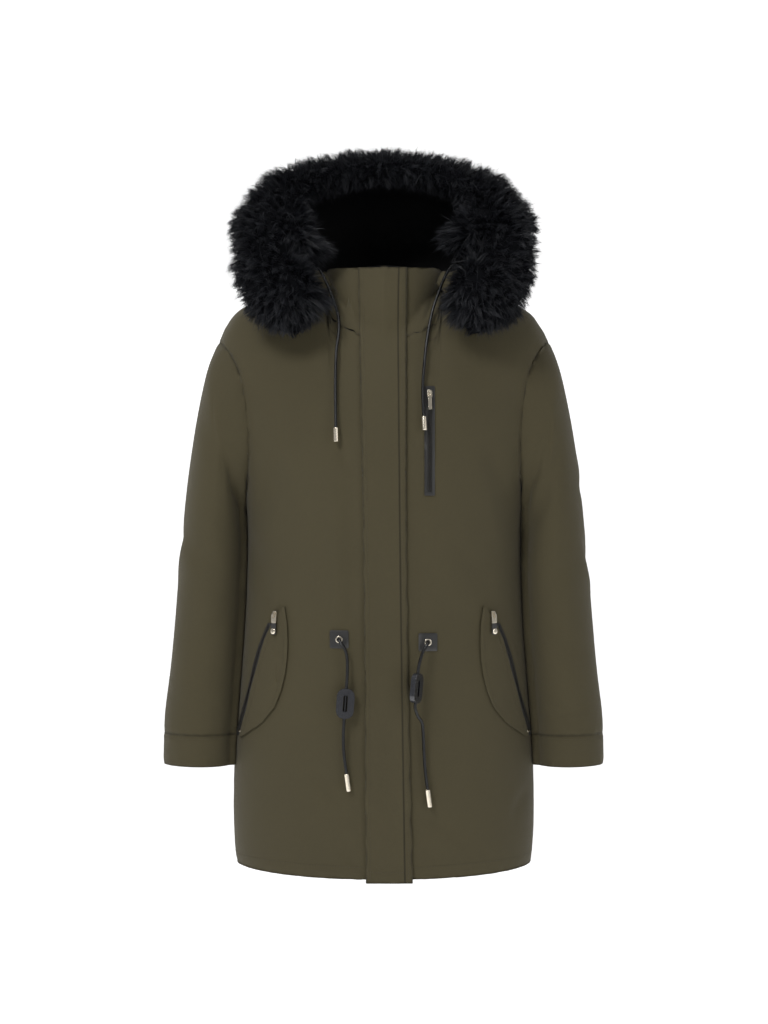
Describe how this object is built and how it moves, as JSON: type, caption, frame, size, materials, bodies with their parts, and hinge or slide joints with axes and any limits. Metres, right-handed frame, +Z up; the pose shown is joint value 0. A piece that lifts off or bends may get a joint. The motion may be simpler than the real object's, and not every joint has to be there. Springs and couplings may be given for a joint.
{
  "type": "fur trimmed parka",
  "caption": "Hollow, worn-form thigh length winter parka with a fur edged hood, storm flap, waist draw cords and slanted zip pockets.",
  "frame": {"origin": "where the shoulders hold the coat: on the coat's middle plane, at the height of the shoulder seams' outer ends", "axes": "+Z up, -Y towards the coat's front, +X towards the wearer's left"},
  "size_m": [0.6526, 0.3578, 1.0801],
  "materials": {
    "olive_cloth": "matt dark olive wind-proof twill",
    "black_lining": "black satin lining",
    "black_fur": "blue-black long pile fur",
    "black_cord": "braided black cord",
    "black_leather": "black grained leather with a soft sheen",
    "grey_horn": "polished dark grey plastic",
    "zip_tape": "dark woven zip tape",
    "pale_gold": "polished pale champagne gold plate"
  },
  "bodies": {
    "coat": {"back": "olive_cloth", "front_right": "olive_cloth", "front_left": "olive_cloth", "sleeve_right": "olive_cloth", "sleeve_left": "olive_cloth", "cuff_right": "olive_cloth", "cuff_left": "olive_cloth", "collar_right": "olive_cloth", "collar_left": "olive_cloth", "collar_back": "olive_cloth", "placket": "olive_cloth", "front_zip": "zip_tape", "hood_side_right": "olive_cloth", "hood_side_left": "olive_cloth", "hood_centre": "olive_cloth", "hood_lining": "black_lining", "fur_ruff": "black_fur", "hood_cord_right": "black_cord", "hood_cord_left": "black_cord", "hood_tip_right": "pale_gold", "hood_tip_left": "pale_gold", "ruff_snap_right": "pale_gold", "ruff_snap_left": "pale_gold", "waist_patch_right": "black_leather", "waist_patch_left": "black_leather", "waist_eyelet_right": "pale_gold", "waist_eyelet_left": "pale_gold", "waist_cord_right": "black_cord", "waist_cord_left": "black_cord", "waist_toggle_right": "grey_horn", "waist_toggle_left": "grey_horn", "waist_tip_right": "pale_gold", "waist_tip_left": "pale_gold", "chest_welt": "black_leather", "chest_tape": "zip_tape", "chest_slider": "pale_gold", "pocket_flap_right": "olive_cloth", "pocket_flap_left": "olive_cloth", "pocket_zip_right": "zip_tape", "pocket_zip_left": "zip_tape", "pocket_slider_right": "pale_gold", "pocket_slider_left": "pale_gold", "pocket_stop_right": "pale_gold", "pocket_stop_left": "pale_gold"},
    "chest_pull": {"chest_pull": "pale_gold"},
    "pocket_pull_right": {"pocket_ring_right": "pale_gold", "pocket_tab_right": "black_leather", "pocket_stud_right": "pale_gold"},
    "pocket_pull_left": {"pocket_ring_left": "pale_gold", "pocket_tab_left": "black_leather", "pocket_stud_left": "pale_gold"}
  },
  "joints": [
    {"name": "chest_pull_swing", "type": "hinge", "parent": "coat", "child": "chest_pull", "pos_m": [0.066, -0.12332, -0.09441], "axis": [-0.9955, -0.0943, 0], "range_deg": [0, 150]},
    {"name": "pocket_pull_swing_right", "type": "hinge", "parent": "coat", "child": "pocket_pull_right", "pos_m": [-0.15946, -0.10618, -0.41384], "axis": [-0.8243, 0.5662, 0], "range_deg": [0, 150]},
    {"name": "pocket_pull_swing_left", "type": "hinge", "parent": "coat", "child": "pocket_pull_left", "pos_m": [0.15946, -0.10618, -0.41384], "axis": [-0.8243, -0.5662, 0], "range_deg": [0, 150]}
  ]
}
